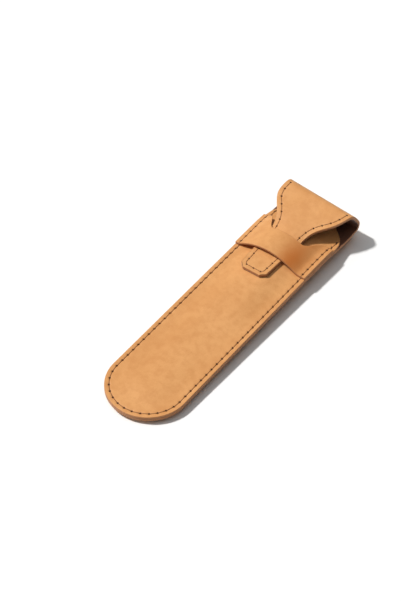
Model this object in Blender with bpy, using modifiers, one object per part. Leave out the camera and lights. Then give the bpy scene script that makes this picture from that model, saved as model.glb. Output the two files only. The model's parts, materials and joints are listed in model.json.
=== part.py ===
"""A fountain pen case: a lined leather sleeve with a folded flap whose tongue tucks under a strap.

Metres. X runs across the case, Y along it towards the fold, Z up. The case lies on its back:
the flat middle of the back panel is at Z = 0. Y = 0 is where the rounded end meets the straight
sides while modelling; place_origin then moves everything so that the origin is the middle of the
whole case's length, at the bottom.
"""

import math

import bmesh
import bpy
from mathutils import Vector

# ---- driving sizes ----------------------------------------------------------------------
HALF_WIDTH = 0.021  # half the width of the case
STRAIGHT_SIDE = 0.1421  # from the rounded end's centre to the start of the fold
CORNER_TO_FOLD = 0.0184  # from where the front panel's mouth edge leaves the side to the fold
MOUTH_DEPTH = 0.0145  # how far the front panel's curved mouth runs past its corners
MOUTH_POWER = 2.3  # roundness of the mouth edge: 2 is an ellipse

LEATHER = 0.0010  # outer leather
LINING = 0.00035  # lining leather
STRAP_LEATHER = 0.0012
LAYER_GAP = 0.00015  # glue line between stacked layers

SEAM_LIFT = 0.0022  # the stitched edge stands this far off the table
CROWN = 0.0026  # rise of the front panel above its stitched edge
FLAT_EDGE = 0.0042  # width of the pressed, stitched edge
BULGE_EDGE = 0.0130  # inset at which the bulge is complete
LIFT_FADES_TO_FOLD = (0.0281, 0.0034)  # the trough flattens between these distances from the fold
FOLD_RISE = 0.0008  # height of the fold's start
FOLD_RISE_LENGTH = 0.0152
STRAIGHT_BEFORE_FOLD = 0.0028

STRAP_LOW_TO_FOLD = 0.0444  # from the retaining strap's lower edge to the fold
STRAP_SIDE_LENGTH = 0.0246  # of the strap, along its stitched sides
STRAP_WAIST_LENGTH = 0.0150  # of the strap, in the middle
STRAP_NOTCH = (0.0088, 0.0168)  # the notch in the upper edge slopes between these half widths
STRAP_ROOM = 0.00018  # between the strap's waist and the thread on the neck under it
STRAP_FOOT = 0.0035  # the flat, stitched foot at each side of the strap
STRAP_FOOT_SOFTNESS = 0.12  # how gently the foot turns up into the hump

LOWER_BEND_R = 0.0036
LOWER_BEND_TURN = math.radians(120)
TONGUE_ROOM = 0.00023  # between the front panel's crown and the tongue's lining
UPPER_BEND_R = 0.0030
UPPER_BEND_TURN = math.radians(65)
FLAP_LENGTH = 0.0231
NECK_ARC = 0.0140
TONGUE_FLAT = 0.0159

NECK_HALF = 0.0087  # half width of the flap's neck
TONGUE_TIP_HALF = 0.0076
TONGUE_CLIP = 0.0026  # the cut-off corners of the tongue
FLAP_CURVE_TO_FOLD = 0.0162  # from the middle of the flap's concave side curves to the fold
FLAP_CURVE_RUN = 0.0034
LEAN = -0.0016  # the flap lies this far to one side
NECK_ARCH = 0.0011  # the neck is bowed across by this much under the strap's upper edge
ARCH_LENGTH = 0.0127  # the bow grows over this stretch, up to the strap's waist

SEAM_INSET = 0.0023
THREAD_R = 0.0002
THREAD_GAP = 0.0001  # between a thread and the leather it lies on
THREAD_STEP = 0.0009  # the thread climbs onto the strap's edge in this length
SEAM_TOP_TO_FOLD = 0.0133
THREAD_END = 0.0006  # the flap's threads stop this far from a joint
HINGE_GAP = 0.0003

STACK = 2 * LEATHER + LINING + 2 * LAYER_GAP
TONGUE_STACK = LEATHER + LAYER_GAP + LINING
CORNER_Y = STRAIGHT_SIDE - CORNER_TO_FOLD
STRAP_LOW_Y = STRAIGHT_SIDE - STRAP_LOW_TO_FOLD
STRAP_HIGH_Y = STRAP_LOW_Y + STRAP_SIDE_LENGTH
STRAP_WAIST_Y = STRAP_LOW_Y + STRAP_WAIST_LENGTH
STRAP_HUMP_HALF = HALF_WIDTH - STRAP_FOOT
FLAP_CURVE_Y = STRAIGHT_SIDE - FLAP_CURVE_TO_FOLD
ARCH_START_Y = STRAP_WAIST_Y - ARCH_LENGTH
SEAM_TOP_Y = STRAIGHT_SIDE - SEAM_TOP_TO_FOLD
LEATHER_COLOUR = (0.78, 0.40, 0.17, 1.0)
LINING_COLOUR = (0.10, 0.035, 0.018, 1.0)
THREAD_COLOUR = (0.26, 0.09, 0.03, 1.0)


def smooth(t):
    t = min(1.0, max(0.0, t))
    return t * t * (3.0 - 2.0 * t)


# ---- heights of the sleeve ----------------------------------------------------------------
def inset(x, y):
    """How far a point is inside the sleeve's outline."""
    across = abs(x) if y >= 0 else math.hypot(x, y)
    return HALF_WIDTH - across


def bulge(x, y):
    return smooth((inset(x, y) - FLAT_EDGE) / (BULGE_EDGE - FLAT_EDGE))


def lift(y):
    """Height of the stitched edge off the table."""
    start, end = (STRAIGHT_SIDE - distance for distance in LIFT_FADES_TO_FOLD)
    return SEAM_LIFT * (1.0 - smooth((y - start) / (end - start)))


def rise(y):
    """The back panel climbs gently into the fold, and its last stretch is straight."""
    rise_end = STRAIGHT_SIDE - STRAIGHT_BEFORE_FOLD
    t = (y - rise_end + FOLD_RISE_LENGTH) / FOLD_RISE_LENGTH
    if t <= 0:
        return 0.0
    if t <= 1:
        return FOLD_RISE * t * t
    return FOLD_RISE + (y - rise_end) * math.tan(fold_heading())


def fold_heading():
    return math.atan(2.0 * FOLD_RISE / FOLD_RISE_LENGTH)


def back_height(x, y):
    return lift(y) * (1.0 - bulge(x, y)) + rise(y)


def lining_height(x, y):
    return back_height(x, y) + LEATHER + LAYER_GAP


def edge_height(y):
    """The underside of the front panel along its stitched edge."""
    return lift(y) + rise(y) + STACK - LEATHER


def front_height(x, y):
    grown_crown = CROWN + SEAM_LIFT - lift(y)
    return edge_height(y) + grown_crown * bulge(x, y)


def mouth_y(x):
    share = min(1.0, abs(x) / HALF_WIDTH)
    return CORNER_Y + MOUTH_DEPTH * (1.0 - share**MOUTH_POWER) ** (1.0 / MOUTH_POWER)


def tongue_level():
    """Height of the tongue's outer face, where it lies on the front panel."""
    return front_height(0.0, STRAP_LOW_Y) + LEATHER + TONGUE_ROOM + TONGUE_STACK


def strap_top_edge(x):
    low, high = STRAP_NOTCH
    t = smooth((abs(x) - low) / (high - low))
    return STRAP_WAIST_Y + (STRAP_HIGH_Y - STRAP_WAIST_Y) * t


# ---- the fold, flap and tongue along their length -----------------------------------------
def climb(radius, start, end):
    """Height gained along an arc that turns from heading start to heading end."""
    return radius * (math.cos(start) - math.cos(end))


def fold_web():
    """Length of the straight stretch between the bends that brings the tongue to its level."""
    base = fold_heading()
    web = base + LOWER_BEND_TURN
    flap = web + UPPER_BEND_TURN
    neck_radius = NECK_ARC / (math.pi - flap)
    bends = climb(LOWER_BEND_R, base, web) + climb(UPPER_BEND_R, web, flap)
    bends += climb(neck_radius, flap, math.pi)
    others = rise(STRAIGHT_SIDE) + bends + FLAP_LENGTH * math.sin(flap)
    return (tongue_level() - others) / math.sin(web)


def all_segments():
    """(length, curvature) of each stretch; the neck turns back until the tongue lies level."""
    turned = fold_heading() + LOWER_BEND_TURN + UPPER_BEND_TURN
    return (
        (LOWER_BEND_R * LOWER_BEND_TURN, 1.0 / LOWER_BEND_R),
        (FOLD_WEB, 0.0),
        (UPPER_BEND_R * UPPER_BEND_TURN, 1.0 / UPPER_BEND_R),
        (FLAP_LENGTH, 0.0),
        (NECK_ARC, (math.pi - turned) / NECK_ARC),
        (TONGUE_FLAT, 0.0),
    )


def path(s):
    """(y, z, heading) on the leather's outer face, s metres past the start of the fold."""
    y = STRAIGHT_SIDE
    z = rise(STRAIGHT_SIDE)
    heading = fold_heading()
    for length, curve in all_segments():
        step = min(s, length)
        if curve:
            turned = heading + curve * step
            y += (math.sin(turned) - math.sin(heading)) / curve
            z -= (math.cos(turned) - math.cos(heading)) / curve
            heading = turned
        else:
            y += step * math.cos(heading)
            z += step * math.sin(heading)
        s -= step
        if s <= 0:
            break
    return y, z, heading


def stretch_ends():
    """s at the end of each stretch, from the lower bend to the tongue's tip."""
    ends = []
    total = 0.0
    for length, _ in all_segments():
        total += length
        ends.append(total)
    return ends


FOLD_WEB = fold_web()
LOWER_END, WEB_END, UPPER_END, FLAP_END, NECK_END, TIP = stretch_ends()
LOWER_MIDDLE = LOWER_END / 2


def flap_share(y):
    return 1.0 / (1.0 + math.exp((FLAP_CURVE_Y - y) / FLAP_CURVE_RUN))


def half_width(s):
    if s <= WEB_END:
        return HALF_WIDTH
    full = flap_share(path(WEB_END)[0])
    share = min(1.0, flap_share(path(s)[0]) / full)
    neck = NECK_HALF + (TONGUE_TIP_HALF - NECK_HALF) * smooth((s - FLAP_END) / (TIP - FLAP_END))
    clip = max(0.0, s - (TIP - TONGUE_CLIP))
    return neck + (HALF_WIDTH - NECK_HALF) * share - clip


def lean(s):
    return LEAN * smooth((s - WEB_END) / (UPPER_END - WEB_END + FLAP_LENGTH / 3))


def arch(s, across):
    """Drop of the neck's edges, where the strap bows it."""
    y = path(s)[0]
    grows = min(1.0, max(0.0, (y - ARCH_START_Y) / (STRAP_WAIST_Y - ARCH_START_Y))) ** 2
    fades = 1.0 - smooth((y - STRAP_WAIST_Y) / (FLAP_CURVE_Y - STRAP_WAIST_Y))
    past_fold = 1.0 if s > UPPER_END else 0.0
    return NECK_ARCH * grows * fades * past_fold * min(1.0, abs(across) / NECK_HALF) ** 2


def hump_shape(x):
    """A soft-footed parabola, close to 1 over the middle of the tongue."""
    u = 1.0 - ((x - LEAN) / STRAP_HUMP_HALF) ** 2
    return 0.5 * (u + math.hypot(u, STRAP_FOOT_SOFTNESS))


def station_at(y):
    """How far along the flap and tongue their outer face passes y."""
    low, high = UPPER_END, TIP
    for _ in range(40):
        middle = (low + high) / 2
        if path(middle)[0] > y:
            low = middle
        else:
            high = middle
    return low


def strap_rise():
    """Rise of the strap above its feet that clears the thread on the neck at its waist."""
    station = station_at(STRAP_WAIST_Y)
    across = half_width(station) - SEAM_INSET
    thread_top = path(station)[1] - arch(station, across) + THREAD_GAP + 2 * THREAD_R
    foot = edge_height(STRAP_LOW_Y) + LEATHER + LAYER_GAP
    return (thread_top + STRAP_ROOM - foot) / hump_shape(LEAN + across)


STRAP_RISE = strap_rise()


def strap_height(x, y):
    """The underside of the strap, which humps over the tongue between its stitched feet."""
    return edge_height(y) + LEATHER + LAYER_GAP + STRAP_RISE * hump_shape(x)


def folded_point(s, across, depth):
    """A point across the flap at s, depth metres in from the leather's outer face."""
    y, z, heading = path(s)
    drop = arch(s, across)
    return Vector(
        (
            lean(s) + across,
            y - depth * math.sin(heading),
            z + depth * math.cos(heading) - drop,
        )
    )


# ---- Blender helpers ------------------------------------------------------------------------
def clear_scene():
    for obj in list(bpy.data.objects):
        bpy.data.objects.remove(obj, do_unlink=True)


def make_collection(name):
    collection = bpy.data.collections.new(name)
    bpy.context.scene.collection.children.link(collection)
    return collection


def make_material(name, colour, roughness):
    material = bpy.data.materials.new(name)
    material.use_nodes = True
    shader = material.node_tree.nodes["Principled BSDF"]
    shader.inputs["Base Color"].default_value = colour
    shader.inputs["Roughness"].default_value = roughness
    shader.inputs["Metallic"].default_value = 0.0
    material.diffuse_color = colour
    return material


def grid_surface(columns, rows, place):
    """A grid of columns by rows quads whose vertex (i, j) sits at place(i, j)."""
    shape = bmesh.new()
    bmesh.ops.create_grid(shape, x_segments=columns, y_segments=rows, size=1.0)
    for vertex in shape.verts:
        i = round((vertex.co.x + 1.0) / 2.0 * columns)
        j = round((vertex.co.y + 1.0) / 2.0 * rows)
        vertex.co = place(i, j)
    bmesh.ops.remove_doubles(shape, verts=shape.verts, dist=1e-6)
    bmesh.ops.recalc_face_normals(shape, faces=shape.faces)
    return shape


def face_towards(shape, direction):
    """Turns the sheet so that its faces look along direction on the whole."""
    total = Vector((0.0, 0.0, 0.0))
    for face in shape.faces:
        face.normal_update()
        total += face.normal * face.calc_area()
    if total.dot(direction) < 0:
        bmesh.ops.reverse_faces(shape, faces=shape.faces)


def sheet_object(name, shape, thickness, collection, material):
    """An open sheet thickened along its normals."""
    mesh = bpy.data.meshes.new(name)
    shape.to_mesh(mesh)
    shape.free()
    mesh.materials.append(material)
    mesh.shade_smooth()
    mesh.set_sharp_from_angle(angle=math.radians(40))
    obj = bpy.data.objects.new(name, mesh)
    collection.objects.link(obj)
    shell = obj.modifiers.new("Thickness", "SOLIDIFY")
    shell.thickness = thickness
    shell.offset = 1.0
    shell.use_even_offset = True
    return obj


def thread_object(name, points, collection, material):
    curve = bpy.data.curves.new(name, "CURVE")
    curve.dimensions = "3D"
    curve.bevel_depth = THREAD_R
    curve.bevel_resolution = 1
    curve.use_fill_caps = True
    curve.twist_mode = "Z_UP"
    line = curve.splines.new("POLY")
    line.points.add(len(points) - 1)
    for target, point in zip(line.points, points):
        target.co = (*point, 1.0)
    curve.materials.append(material)
    obj = bpy.data.objects.new(name, curve)
    collection.objects.link(obj)
    return obj


# ---- the sleeve ---------------------------------------------------------------------------
RING_INSETS = (0.0, FLAT_EDGE / 2, FLAT_EDGE, 0.0062, 0.0084, 0.0106, BULGE_EDGE, 0.017, HALF_WIDTH)
ARC_STEPS = 18
STRAP_ROWS = 5
STRAP_COLUMNS = 36
MOUTH_STATIONS = (0.0247, 0.0186, 0.0155, 0.0124, 0.0093, 0.0062, 0.0037, 0.0019, 0.0)


def outline_stations(straight):
    """(side, share or angle) round the sleeve: down one side, round the end and up the other."""
    stations = [("right", share) for share in reversed(straight)]
    stations += [("arc", math.pi * step / ARC_STEPS) for step in range(1, ARC_STEPS)]
    stations += [("left", share) for share in straight]
    return stations


def sleeve_sheet(straight, side_top, height):
    """A sheet inside the sleeve's outline; side_top(x) is where it ends at the mouth."""
    stations = outline_stations(straight)

    def place(i, j):
        radius = HALF_WIDTH - RING_INSETS[j]
        side, value = stations[i]
        if side == "arc":
            x = radius * math.cos(value)
            y = -radius * math.sin(value)
        else:
            x = radius if side == "right" else -radius
            y = value * side_top(x)
        return Vector((x, y, height(x, y)))

    return grid_surface(len(stations) - 1, len(RING_INSETS) - 1, place)


def shares(top, heights):
    return [height / top for height in heights]


def make_back(collection, leather, lining):
    end = STRAIGHT_SIDE - HINGE_GAP / 2
    start = STRAIGHT_SIDE - LIFT_FADES_TO_FOLD[0]
    fine = [start + (end - start) * step / 10 for step in range(11)]
    straight = shares(end, [0.0, 0.05, 0.10] + fine)
    panel = sleeve_sheet(straight, lambda x: end, back_height)
    face_towards(panel, Vector((0, 0, 1)))
    sheet_object("back_panel", panel, LEATHER, collection, leather)
    skin = sleeve_sheet(straight, lambda x: end, lining_height)
    face_towards(skin, Vector((0, 0, 1)))
    sheet_object("back_lining", skin, LINING, collection, lining)


def make_front(collection, leather):
    straight = [0.0, 0.5 * CORNER_Y] + [CORNER_Y - before for before in MOUTH_STATIONS]
    straight = shares(CORNER_Y, straight)
    panel = sleeve_sheet(straight, mouth_y, front_height)
    face_towards(panel, Vector((0, 0, 1)))
    sheet_object("front_panel", panel, LEATHER, collection, leather)


def make_strap(collection, leather):
    seam = HALF_WIDTH - SEAM_INSET
    evenly = [HALF_WIDTH * (2.0 * i / STRAP_COLUMNS - 1.0) for i in range(STRAP_COLUMNS + 1)]
    columns = sorted([*evenly, -seam, seam])

    def place(i, j):
        x = columns[i]
        top = strap_top_edge(x)
        y = STRAP_LOW_Y + (top - STRAP_LOW_Y) * j / STRAP_ROWS
        return Vector((x, y, strap_height(x, y)))

    strap = grid_surface(len(columns) - 1, STRAP_ROWS, place)
    face_towards(strap, Vector((0, 0, 1)))
    sheet_object("retaining_strap", strap, STRAP_LEATHER, collection, leather)


def seam_points(height):
    """The thread's line, at the seam inset, with height(x, y) for its middle."""
    x = HALF_WIDTH - SEAM_INSET
    step = THREAD_STEP / 2
    ups = [0.0, STRAP_LOW_Y / 3, STRAP_LOW_Y * 2 / 3]
    ups += [STRAP_LOW_Y - THREAD_STEP, STRAP_LOW_Y - step]
    rise_per_row = (STRAP_HIGH_Y - STRAP_LOW_Y) / STRAP_ROWS
    ups += [STRAP_LOW_Y + rise_per_row * row for row in range(STRAP_ROWS + 1)]
    ups += [STRAP_HIGH_Y + step, STRAP_HIGH_Y + THREAD_STEP]
    ups += [(STRAP_HIGH_Y + SEAM_TOP_Y) / 2, SEAM_TOP_Y]
    points = [(x, y, height(x, y)) for y in reversed(ups)]
    for number in range(1, ARC_STEPS):
        angle = math.pi * number / ARC_STEPS
        around = (x * math.cos(angle), -x * math.sin(angle))
        points.append((*around, height(*around)))
    points += [(-x, y, height(-x, y)) for y in ups]
    return points


def make_seam_threads(collection, thread):
    reach = THREAD_R + THREAD_GAP

    def over(x, y):
        if STRAP_LOW_Y - THREAD_STEP < y < STRAP_HIGH_Y + THREAD_STEP:
            climb_across = strap_height(x + THREAD_R, y) - strap_height(x - THREAD_R, y)
            tilt = math.hypot(1.0, climb_across / (2 * THREAD_R))
            return strap_height(x, y) + (STRAP_LEATHER + THREAD_R) * tilt + THREAD_GAP
        return edge_height(y) + LEATHER + reach

    def under(x, y):
        return back_height(x, y) - reach

    thread_object("seam_thread_front", seam_points(over), collection, thread)
    thread_object("seam_thread_back", seam_points(under), collection, thread)


# ---- fold, flap and tongue ------------------------------------------------------------------
def folded_sheet(start, end, rows, columns, depth, extra=()):
    """A strip across the flap from start to end, its outer face depth metres in."""
    places = [start + (end - start) * row / rows for row in range(rows + 1)]
    places = sorted(set(places) | set(extra))

    def place(i, j):
        across = half_width(places[j]) * (2.0 * i / columns - 1.0)
        return folded_point(places[j], across, depth)

    shape = grid_surface(columns, len(places) - 1, place)
    middle = (start + end) / 2
    heading = path(middle)[2]
    face_towards(shape, Vector((0.0, -math.sin(heading), math.cos(heading))))
    return shape


def make_strip(tag, start, end, rows, columns, collection, leather, lining, extra=()):
    """The leather and the lining of one stretch, hinge gaps left at its ends."""
    start = start + HINGE_GAP / 2
    end = end - HINGE_GAP / 2 if end < TIP else end
    outer = folded_sheet(start, end, rows, columns, 0.0, extra)
    sheet_object(tag.format("leather"), outer, LEATHER, collection, leather)
    inner = folded_sheet(start, end, rows, columns, LEATHER + LAYER_GAP, extra)
    sheet_object(tag.format("lining"), inner, LINING, collection, lining)


def edge_thread(start, end, side, rows):
    """A line at the seam inset from the flap's edge, just off the leather's outer face."""
    points = []
    for row in range(rows + 1):
        s = start + (end - start) * row / rows
        slope = (half_width(s + 1e-4) - half_width(s - 1e-4)) / 2e-4
        across = half_width(s) - SEAM_INSET * math.hypot(1.0, slope)
        points.append(folded_point(s, side * across, -(THREAD_R + THREAD_GAP)))
    return points


def make_fold(collection, leather, lining):
    starts = (0.0, LOWER_MIDDLE, LOWER_END, WEB_END)
    ends = (LOWER_MIDDLE, LOWER_END, WEB_END, UPPER_END)
    rows = (6, 6, 2, 6)
    for number in range(4):
        tag = "fold_{}_" + str(number + 1)
        args = (starts[number], ends[number], rows[number], 6)
        make_strip(tag, *args, collection, leather, lining)


def make_flap(collection, leather, lining, thread):
    make_strip("flap_{}", UPPER_END, FLAP_END, 14, 14, collection, leather, lining)
    for side, word in ((-1, "left"), (1, "right")):
        points = edge_thread(UPPER_END + THREAD_END, FLAP_END - THREAD_END, side, 12)
        thread_object("flap_thread_" + word, points, collection, thread)


def make_tongue(collection, leather, lining, thread):
    clip = (TIP - TONGUE_CLIP,)
    make_strip("tongue_{}", FLAP_END, TIP, 10, 8, collection, leather, lining, clip)
    end = TIP - SEAM_INSET
    up = edge_thread(FLAP_END + THREAD_END, end - TONGUE_CLIP / 2, 1, 8)
    down = edge_thread(FLAP_END + THREAD_END, end - TONGUE_CLIP / 2, -1, 8)
    inner = half_width(end - TONGUE_CLIP / 2) - SEAM_INSET - TONGUE_CLIP / 2
    across = [folded_point(end, side * inner, -(THREAD_R + THREAD_GAP)) for side in (1, -1)]
    thread_object("tongue_thread", up + across + down[::-1], collection, thread)


def place_origin(collection):
    """Moves every part so that the origin is the bottom middle of the case's length."""
    far = max(path(LOWER_END * share / 40)[0] for share in range(41))
    shift = (far - HALF_WIDTH) / 2
    for obj in collection.objects:
        obj.location.y -= shift


def build():
    clear_scene()
    parts = make_collection("fountain_pen_case")
    leather = make_material("tan_leather", LEATHER_COLOUR, 0.6)
    lining = make_material("dark_lining", LINING_COLOUR, 0.8)
    thread = make_material("brown_thread", THREAD_COLOUR, 0.7)
    make_back(parts, leather, lining)
    make_front(parts, leather)
    make_strap(parts, leather)
    make_seam_threads(parts, thread)
    make_fold(parts, leather, lining)
    make_flap(parts, leather, lining, thread)
    make_tongue(parts, leather, lining, thread)
    place_origin(parts)


build()
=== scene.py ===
# %% [markdown]
# # A fountain pen case in natural leather
# The case is a narrow sleeve with a rounded end. Its back leather runs on past the mouth, folds over
# as a flap, and ends in a tongue that tucks under a strap. Nothing on it is rigid, so every piece is
# a sheet of leather, a lining skin or a row of stitches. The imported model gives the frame, and each
# of its plain solids is replaced here by a finished piece in the same place.

# %% Load the frame
import json
import math

import bpy
import numpy as np
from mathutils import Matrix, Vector


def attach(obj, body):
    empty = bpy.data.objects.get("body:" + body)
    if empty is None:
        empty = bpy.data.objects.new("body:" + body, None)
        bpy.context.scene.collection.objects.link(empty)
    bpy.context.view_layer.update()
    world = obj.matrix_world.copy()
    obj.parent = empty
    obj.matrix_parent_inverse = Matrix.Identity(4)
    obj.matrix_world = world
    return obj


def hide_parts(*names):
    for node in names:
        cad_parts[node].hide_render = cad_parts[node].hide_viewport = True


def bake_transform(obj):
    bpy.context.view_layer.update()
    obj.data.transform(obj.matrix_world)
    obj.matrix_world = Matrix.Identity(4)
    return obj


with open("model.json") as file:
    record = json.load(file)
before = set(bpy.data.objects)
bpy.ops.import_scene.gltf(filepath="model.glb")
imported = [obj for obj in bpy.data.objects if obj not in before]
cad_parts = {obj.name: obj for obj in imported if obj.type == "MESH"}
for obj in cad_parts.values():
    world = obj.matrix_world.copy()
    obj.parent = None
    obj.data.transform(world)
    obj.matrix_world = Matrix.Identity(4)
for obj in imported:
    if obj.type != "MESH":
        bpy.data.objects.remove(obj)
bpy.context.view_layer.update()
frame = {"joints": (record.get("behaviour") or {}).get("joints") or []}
bpy.ops.object.select_all(action="DESELECT")

# %% [markdown]
# ## Sizes
# Every length is in metres. The numbers repeat the driving sizes of the part, so that a formed sheet
# lands where its solid was. Lengths along the case are measured from the centre of the rounded end,
# and END_Y turns them into the frame's Y.

# %% Sizes of the sheets and of the fold
HALF = 0.021
STRAIGHT = 0.1421
hinges = {joint["name"]: joint["pos_m"] for joint in frame["joints"]}
END_Y = hinges["fold_base"][1] - STRAIGHT

LEATHER = 0.0010
STRAP_LEATHER = 0.0012
LINING_FROM = 0.00102
LINING_TO = 0.00158
FRONT_FROM = 0.00165
SEAM_LIFT = 0.0022
CROWN = 0.0026

SEAM_INSET = 0.0023
SEAM_TOP = 0.1288
PITCH = 0.0042
print("rounded end's centre at Y", round(END_Y, 5))


# %% [markdown]
# ## The shape of the sleeve
# A real sleeve bulges because its two panels are stitched flat at the edge and pushed apart inside.
# It could be simulated, but the bulge of stiff vegetable-tanned leather is a plain, even curve, so
# a smooth step from the stitched edge to the middle gives it exactly, and every layer shares it.

# %% Height of the back panel
def smooth(t):
    t = np.clip(t, 0.0, 1.0)
    return t * t * (3.0 - 2.0 * t)


BULGE_FROM, BULGE_WIDTH = 0.0042, 0.0088
LIFT_FADES_FROM, LIFT_FADE = 0.1140, 0.0247
RISE_FROM, RISE_LENGTH, RISE_HEIGHT = 0.1241, 0.0152, 0.0008
RISE_SLOPE = 2 * RISE_HEIGHT / RISE_LENGTH


def inset_from_edge(x, y):
    return HALF - np.where(y >= 0, np.abs(x), np.hypot(x, y))


def bulge(x, y):
    return smooth((inset_from_edge(x, y) - BULGE_FROM) / BULGE_WIDTH)


def lift(y):
    """Height of the stitched edge above the table: it comes down towards the fold."""
    return SEAM_LIFT * (1.0 - smooth((y - LIFT_FADES_FROM) / LIFT_FADE))


def rise(y):
    """The back starts to climb before the fold: a short curve, and then a straight slope."""
    curved = RISE_HEIGHT * np.clip((y - RISE_FROM) / RISE_LENGTH, 0.0, 1.0) ** 2
    return curved + np.maximum(0.0, y - (RISE_FROM + RISE_LENGTH)) * RISE_SLOPE


def back_height(x, y):
    return lift(y) * (1.0 - bulge(x, y)) + rise(y)


print("stitched edge", round(float(lift(0.0)), 5), "high, and", round(float(lift(SEAM_TOP)), 5), "at its end")


# %% [markdown]
# The front panel starts from the same stitched edge and swells upwards. It is nearly flat where the
# sleeve is empty and fuller at the mouth, where a pen and the tongue have stretched it.

# %% Height of the front panel
FLAT_SHARE = 0.25
CROWN_GROWS_FROM, CROWN_GROWTH = 0.035, 0.060
CROWN_FROM, CROWN_WIDTH = 0.0036, 0.0145


def edge_height(y):
    return lift(y) + rise(y) + FRONT_FROM


def front_crown(x, y):
    """Rise of the front above its stitched edge."""
    grows = FLAT_SHARE + (1.0 - FLAT_SHARE) * smooth((y - CROWN_GROWS_FROM) / CROWN_GROWTH)
    height = CROWN * grows + SEAM_LIFT - lift(y)
    return height * smooth((inset_from_edge(x, y) - CROWN_FROM) / CROWN_WIDTH)


def front_height(x, y):
    return edge_height(y) + front_crown(x, y)


MOUTH_CORNER_Y, MOUTH_DEPTH, MOUTH_ROUNDNESS = 0.1237, 0.0145, 2.3


def mouth_y(x):
    """The mouth's edge is a half superellipse, highest in the middle."""
    share = np.minimum(1.0, np.abs(x) / HALF)
    return MOUTH_CORNER_Y + MOUTH_DEPTH * (1.0 - share**MOUTH_ROUNDNESS) ** (1.0 / MOUTH_ROUNDNESS)


print("crown of the front panel", round(float(front_height(0.0, 0.05)) + LEATHER, 5))


# %% [markdown]
# ## The path of the fold
# Seen from the side, the back leather climbs off the table, turns through the lower bend, runs up a
# short straight web, turns through the upper bend and slopes down over the mouth. A leather worker
# bends it by hand over a rod, so each bend is close to an arc. Adding up small steps along a list of
# headings gives the whole path, and one table then serves the leather, the lining and the stitches.

# %% Walk along the fold
LOWER_TURN, UPPER_TURN = math.radians(120), math.radians(65)
LOWER_BEND = 0.0036 * LOWER_TURN
UPPER_BEND = 0.0030 * UPPER_TURN
WEB, FLAP, NECK, TONGUE = 0.0086036, 0.0231, 0.0140, 0.0159
FIRST_HEADING = math.atan(RISE_SLOPE)

# Each stretch has a length and the angle it turns. The neck's turn is whatever brings the tongue level.
LENGTHS = (LOWER_BEND, WEB, UPPER_BEND, FLAP, NECK, TONGUE)
TURNS = (LOWER_TURN, 0.0, UPPER_TURN, 0.0, None, 0.0)

stations = [0.0]
headings = [FIRST_HEADING]
for length, turn in zip(LENGTHS, TURNS):
    stations.append(stations[-1] + length)
    headings.append(math.pi if turn is None else headings[-1] + turn)
WEB_END, UPPER_END, FLAP_END, NECK_END, TIP = stations[2:]
STEPS = 6000
table_s = np.linspace(0.0, TIP, STEPS + 1)
middle_s = (table_s[1:] + table_s[:-1]) / 2
middle_heading = np.interp(middle_s, stations, headings)
table_y = STRAIGHT + np.append(0.0, np.cumsum(np.cos(middle_heading))) * TIP / STEPS
table_z = float(rise(STRAIGHT)) + np.append(0.0, np.cumsum(np.sin(middle_heading))) * TIP / STEPS


print("leather past the sleeve's straight side", round(TIP, 4), "long")


# %% [markdown]
# Real leather never turns from straight to bent at a point: its stiffness spreads every bend. Rolling
# an average along the path does that, and it is faded out before the sleeve and the tongue, whose
# places are fixed by the seam and the strap.

# %% Soften the bends
def rounder(values, softness):
    """Relaxes a line of values with a bell-shaped average, keeping its slope at both ends."""
    step = TIP / STEPS
    reach = int(3 * softness / step)
    weights = np.exp(-0.5 * (np.arange(-reach, reach + 1) * step / softness) ** 2)
    before = values[0] + (values[1] - values[0]) * np.arange(-reach, 0)
    after = values[-1] + (values[-1] - values[-2]) * np.arange(1, reach + 1)
    padded = np.concatenate([before, values, after])
    return np.convolve(padded, weights / weights.sum(), mode="valid")


BEND_SOFTNESS = 0.0016
SOFT_FROM, SOFT_IN = 0.0008, 0.004
SOFT_TO, SOFT_OUT = 0.026, 0.008
soft_y = rounder(table_y, BEND_SOFTNESS)
soft_z = rounder(table_z, BEND_SOFTNESS)
fold_only = smooth((table_s - SOFT_FROM) / SOFT_IN) * (1.0 - smooth((table_s - SOFT_TO) / SOFT_OUT))
table_y = table_y + (soft_y - table_y) * fold_only
table_z = table_z + (soft_z - table_z) * fold_only
table_heading = np.unwrap(np.arctan2(np.gradient(table_z), np.gradient(table_y)))


def path(s):
    """(y, z, heading) at a length s along the fold, from the end of the straight sleeve."""
    return (
        np.interp(s, table_s, table_y),
        np.interp(s, table_s, table_z),
        np.interp(s, table_s, table_heading),
    )


for name, station in (("flap_root", UPPER_END), ("neck_bend", FLAP_END)):
    y, z, _ = path(station)
    print(name, "path", round(float(y) + END_Y, 5), round(float(z), 5), "hinge", hinges[name][1:])


# %% [markdown]
# ## Width of the flap and the tongue
# The flap keeps the width of the case round the fold, then sweeps in on two concave curves to a neck
# that fits under the strap. A pattern cutter would draw those curves with a template. Here they are a
# logistic step along the case, which has the same shape, and the tongue's two corners are cut off.

# %% Width along the flap
NECK_HALF = 0.0087
TONGUE_TIP_HALF = 0.0076
TONGUE_CLIP = 0.0026
FLAP_CURVE_Y = 0.1259
FLAP_CURVE_LENGTH = 0.0034
STRAP_WAIST_Y = 0.1127


def flap_share(y):
    return 1.0 / (1.0 + np.exp((FLAP_CURVE_Y - y) / FLAP_CURVE_LENGTH))


FULL_SHARE = float(flap_share(path(WEB_END)[0]))
CORNER_TUCK = 0.0006
TUCK_FROM, TUCK_IN = 0.0060, 0.0110
TUCK_TO, TUCK_OUT = 0.0195, 0.009


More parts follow.
